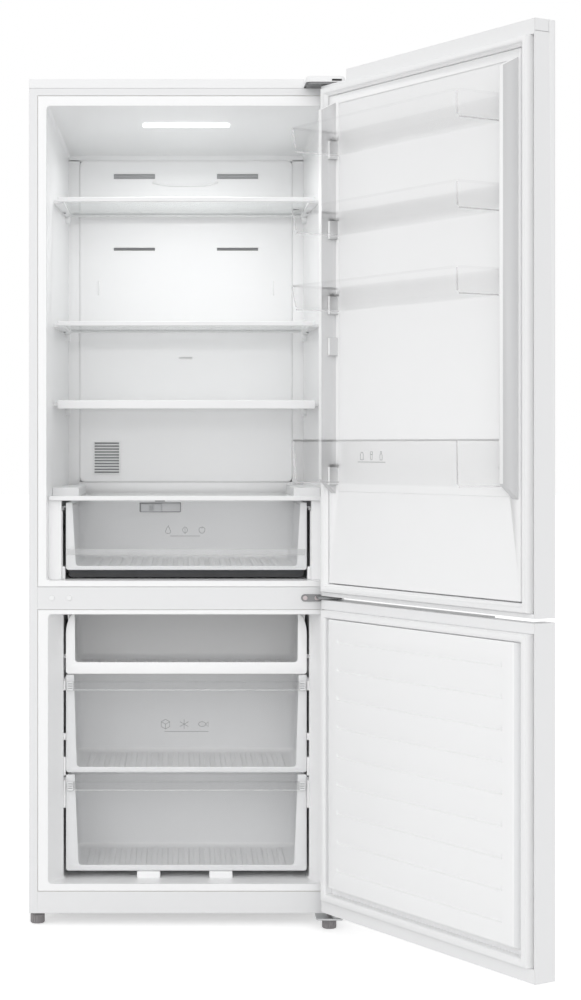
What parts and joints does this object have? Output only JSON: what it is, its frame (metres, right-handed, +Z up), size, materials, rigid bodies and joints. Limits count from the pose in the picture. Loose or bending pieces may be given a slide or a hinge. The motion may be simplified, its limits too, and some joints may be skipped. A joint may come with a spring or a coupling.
{
  "type": "bottom freezer refrigerator",
  "caption": "Free-standing refrigerator with a freezer below, shown with both right-hinged doors open, with glass shelves, door bins, a crisper and freezer drawers.",
  "frame": {"origin": "the middle of the left front foot's base, on the floor", "axes": "+Z up, +X to the right as seen from the front, +Y from the front towards the back"},
  "size_m": [1.0565, 1.2362, 1.882],
  "materials": {
    "outer_sheet": "satin white coat",
    "door_sheet": "satin white coat",
    "back_sheet": "zinc coated sheet",
    "white_liner": "glossy white",
    "white_trim": "glossy white",
    "drawer_white": "glossy white",
    "grey_trim": "satin pale grey",
    "dark_plastic": "matt dark grey",
    "seal": "soft white",
    "foam": "rigid foam",
    "clear_glass": "clear",
    "clear_plastic": "clear moulded",
    "lamp": "frosted",
    "bare_aluminium": "mill finish",
    "hinge_steel": "zinc plated",
    "screw_steel": "zinc plated",
    "machine_steel": "satin",
    "compressor_paint": "satin black"
  },
  "bodies": {
    "cabinet": {"outer_wrap": "outer_sheet", "back_panel": "back_sheet", "base_plate": "outer_sheet", "top_cap": "white_trim", "fridge_liner": "white_liner", "freezer_liner": "white_liner", "insulation_foam": "foam", "center_beam": "outer_sheet", "air_duct_panel": "white_liner", "return_grille": "grey_trim", "lamp_lens": "lamp", "shelf_supports": "white_liner", "crisper_cover_glass": "clear_glass", "crisper_cover_frame": "white_trim", "crisper_guides": "white_liner", "freezer_duct_panel": "white_liner", "evaporator": "bare_aluminium", "fan_motor": "machine_steel", "compressor": "compressor_paint", "drip_tray": "dark_plastic", "compressor_cover": "back_sheet", "top_hinge": "hinge_steel", "top_hinge_cover": "white_trim", "middle_hinge": "hinge_steel", "bottom_hinge": "hinge_steel", "hinge_screws": "screw_steel", "screw_caps": "grey_trim", "roller_brackets": "hinge_steel"},
    "upper_door": {"upper_door_skin": "door_sheet", "upper_door_liner": "white_liner", "upper_door_caps": "white_trim", "upper_door_gasket": "seal", "upper_door_foam": "foam"},
    "lower_door": {"lower_door_skin": "door_sheet", "lower_door_liner": "white_liner", "lower_door_caps": "white_trim", "lower_door_gasket": "seal", "lower_door_foam": "foam"},
    "crisper": {"crisper_drawer": "clear_plastic"},
    "humidity_control": {"humidity_slider": "grey_trim"},
    "tray": {"freezer_tray": "drawer_white"},
    "middle_drawer": {"middle_drawer_body": "drawer_white", "middle_drawer_front": "clear_plastic"},
    "bottom_drawer": {"bottom_drawer_body": "drawer_white", "bottom_drawer_front": "clear_plastic"},
    "fan": {"fan_rotor": "dark_plastic"},
    "foot_left": {"left_foot": "dark_plastic"},
    "foot_right": {"right_foot": "dark_plastic"},
    "roller_left": {"left_roller": "dark_plastic"},
    "roller_right": {"right_roller": "dark_plastic"},
    "shelf_1": {"shelf_glass_1": "clear_glass", "shelf_trims_1": "white_trim"},
    "shelf_2": {"shelf_glass_2": "clear_glass", "shelf_trims_2": "white_trim"},
    "shelf_3": {"shelf_glass_3": "clear_glass", "shelf_trims_3": "white_trim"},
    "bin_1": {"door_bin_1": "clear_plastic"},
    "bin_2": {"door_bin_2": "clear_plastic"},
    "bin_3": {"door_bin_3": "clear_plastic"},
    "bin_4": {"door_bin_4": "clear_plastic"}
  },
  "joints": [
    {"name": "upper_door_swing", "type": "hinge", "parent": "cabinet", "child": "upper_door", "pos_m": [0.663, -0.0702, 0], "axis": [0, 0, 1], "range_deg": [-121.5, 8.5]},
    {"name": "lower_door_swing", "type": "hinge", "parent": "cabinet", "child": "lower_door", "pos_m": [0.663, -0.0702, 0], "axis": [0, 0, 1], "range_deg": [-121.5, 8.5]},
    {"name": "crisper_slide", "type": "slide", "parent": "cabinet", "child": "crisper", "axis": [0, -1, 0], "range_m": [0, 0.33]},
    {"name": "humidity_slide", "type": "slide", "parent": "crisper", "child": "humidity_control", "axis": [1, 0, 0], "range_m": [0, 0.04]},
    {"name": "tray_slide", "type": "slide", "parent": "cabinet", "child": "tray", "axis": [0, -1, 0], "range_m": [0, 0.25]},
    {"name": "middle_drawer_slide", "type": "slide", "parent": "cabinet", "child": "middle_drawer", "axis": [0, -1, 0], "range_m": [0, 0.25]},
    {"name": "bottom_drawer_slide", "type": "slide", "parent": "cabinet", "child": "bottom_drawer", "axis": [0, -1, 0], "range_m": [0, 0.23]},
    {"name": "fan_spin", "type": "hinge", "parent": "cabinet", "child": "fan", "pos_m": [0.333, -0.03, 0.62], "axis": [0, 1, 0], "continuous": true},
    {"name": "left_foot_turn", "type": "hinge", "parent": "cabinet", "child": "foot_left", "pos_m": [0, 0, 0], "axis": [0, 0, 1], "continuous": true},
    {"name": "right_foot_turn", "type": "hinge", "parent": "cabinet", "child": "foot_right", "pos_m": [0.649, -0.051, 0], "axis": [0, 0, 1], "continuous": true},
    {"name": "left_roller_spin", "type": "hinge", "parent": "cabinet", "child": "roller_left", "pos_m": [0.333, 0.51, 0.0125], "axis": [1, 0, 0], "continuous": true},
    {"name": "right_roller_spin", "type": "hinge", "parent": "cabinet", "child": "roller_right", "pos_m": [0.333, 0.51, 0.0125], "axis": [1, 0, 0], "continuous": true},
    {"name": "shelf_1_slide", "type": "slide", "parent": "cabinet", "child": "shelf_1", "axis": [0, -1, 0], "range_m": [0, 0.15]},
    {"name": "shelf_2_slide", "type": "slide", "parent": "cabinet", "child": "shelf_2", "axis": [0, -1, 0], "range_m": [0, 0.15]},
    {"name": "shelf_3_slide", "type": "slide", "parent": "cabinet", "child": "shelf_3", "axis": [0, -1, 0], "range_m": [0, 0.15]},
    {"name": "bin_1_lift", "type": "slide", "parent": "upper_door", "child": "bin_1", "axis": [0, 0, 1], "range_m": [0, 0.05]},
    {"name": "bin_2_lift", "type": "slide", "parent": "upper_door", "child": "bin_2", "axis": [0, 0, 1], "range_m": [0, 0.05]},
    {"name": "bin_3_lift", "type": "slide", "parent": "upper_door", "child": "bin_3", "axis": [0, 0, 1], "range_m": [0, 0.05]},
    {"name": "bin_4_lift", "type": "slide", "parent": "upper_door", "child": "bin_4", "axis": [0, 0, 1], "range_m": [0, 0.05]}
  ]
}
